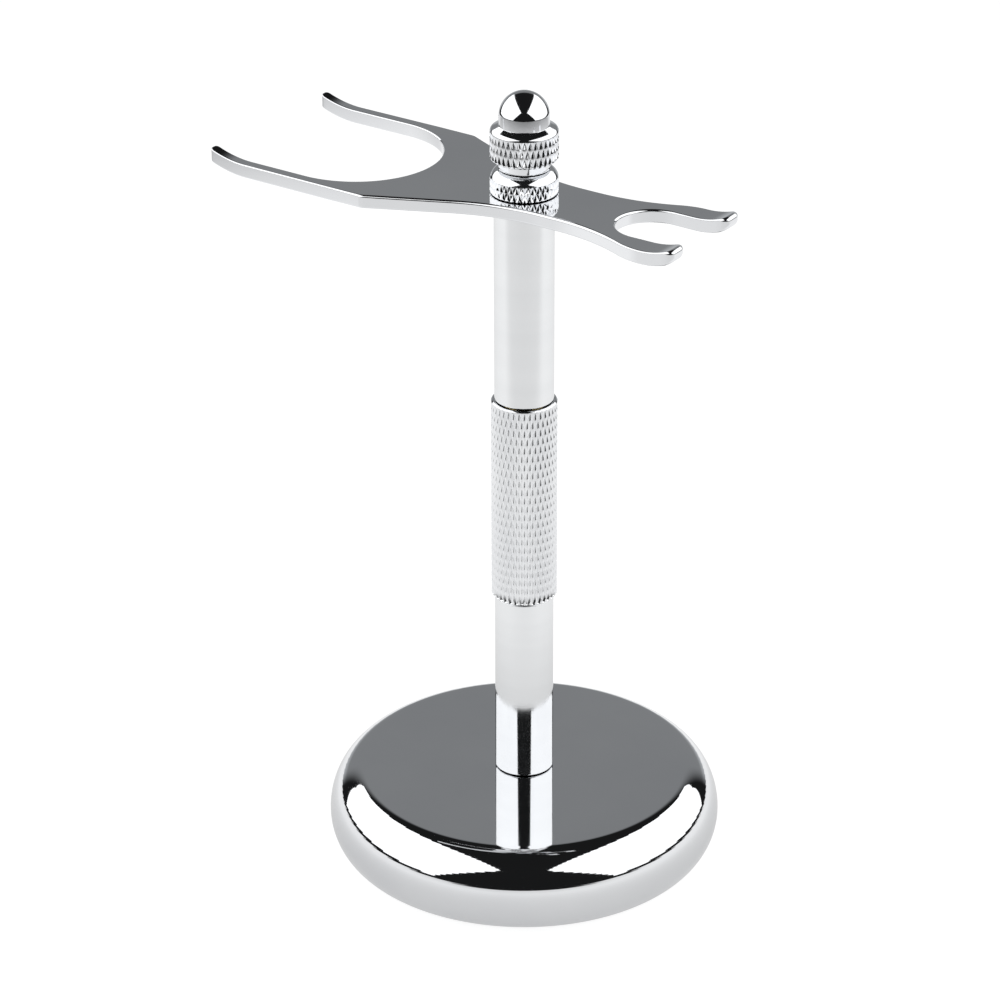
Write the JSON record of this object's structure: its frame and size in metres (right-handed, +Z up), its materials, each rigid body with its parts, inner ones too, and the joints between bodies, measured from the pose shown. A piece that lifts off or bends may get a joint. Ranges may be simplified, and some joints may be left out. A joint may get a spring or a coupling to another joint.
{
  "type": "razor stand",
  "caption": "Free-standing shaving stand: a weighted round base and a post with a knurled grip carry a plate with a wide fork for a brush and a narrow fork for a razor, under a domed finial.",
  "frame": {"origin": "centre of the base pad's underside, on the post's axis", "axes": "+Z up the post, +X along the plate to the razor fork, -X to the brush fork"},
  "size_m": [0.0935, 0.073, 0.15],
  "materials": {
    "base_chrome": "mirror polished chrome plate",
    "post_chrome": "polished chrome plate",
    "plate_chrome": "mirror polished chrome plate, faint grinding lines on the edges",
    "knurled_chrome": "diamond-knurled chrome plate",
    "cast_iron": "rough cast",
    "plated_steel": "zinc plated",
    "bush_brass": "turned",
    "nylon": "natural nylon",
    "pad_rubber": "matt foam rubber"
  },
  "bodies": {
    "stand": {"base_cover": "base_chrome", "ballast_disc": "cast_iron", "base_pad": "pad_rubber", "base_nut": "plated_steel", "base_spring_washer": "plated_steel", "base_flat_washer": "plated_steel", "tie_rod": "plated_steel", "foot_bush": "bush_brass", "lower_joint_bush": "bush_brass", "upper_joint_bush": "bush_brass", "top_bush": "bush_brass", "lower_post": "post_chrome", "knurled_grip": "knurled_chrome", "upper_post": "post_chrome", "plate_washer": "nylon"},
    "holder": {"holder_plate": "plate_chrome"},
    "collar_carrier": {"collar_washer": "nylon"},
    "collar": {"clamp_collar": "knurled_chrome"},
    "finial_carrier": {"finial_washer": "nylon"},
    "finial": {"finial_knob": "knurled_chrome"}
  },
  "joints": [
    {"name": "plate_swivel", "type": "hinge", "parent": "stand", "child": "holder", "pos_m": [0, 0, 0.1289], "axis": [0, 0, 1], "continuous": true},
    {"name": "collar_lift", "type": "slide", "parent": "stand", "child": "collar_carrier", "axis": [0, 0, 1], "range_m": [0, 0.012]},
    {"name": "collar_turn", "type": "hinge", "parent": "collar_carrier", "child": "collar", "pos_m": [0, 0, 0.1316], "axis": [0, 0, 1], "range_deg": [0, 5400]},
    {"name": "finial_lift", "type": "slide", "parent": "collar", "child": "finial_carrier", "axis": [0, 0, 1], "range_m": [0, 0.0072]},
    {"name": "finial_turn", "type": "hinge", "parent": "finial_carrier", "child": "finial", "pos_m": [0, 0, 0.1361], "axis": [0, 0, 1], "range_deg": [0, 3240]}
  ],
  "couplings": [
    {"joint": "collar_turn", "follows": "collar_lift", "rad_per_m": 7854},
    {"joint": "finial_turn", "follows": "finial_lift", "rad_per_m": 7854}
  ]
}
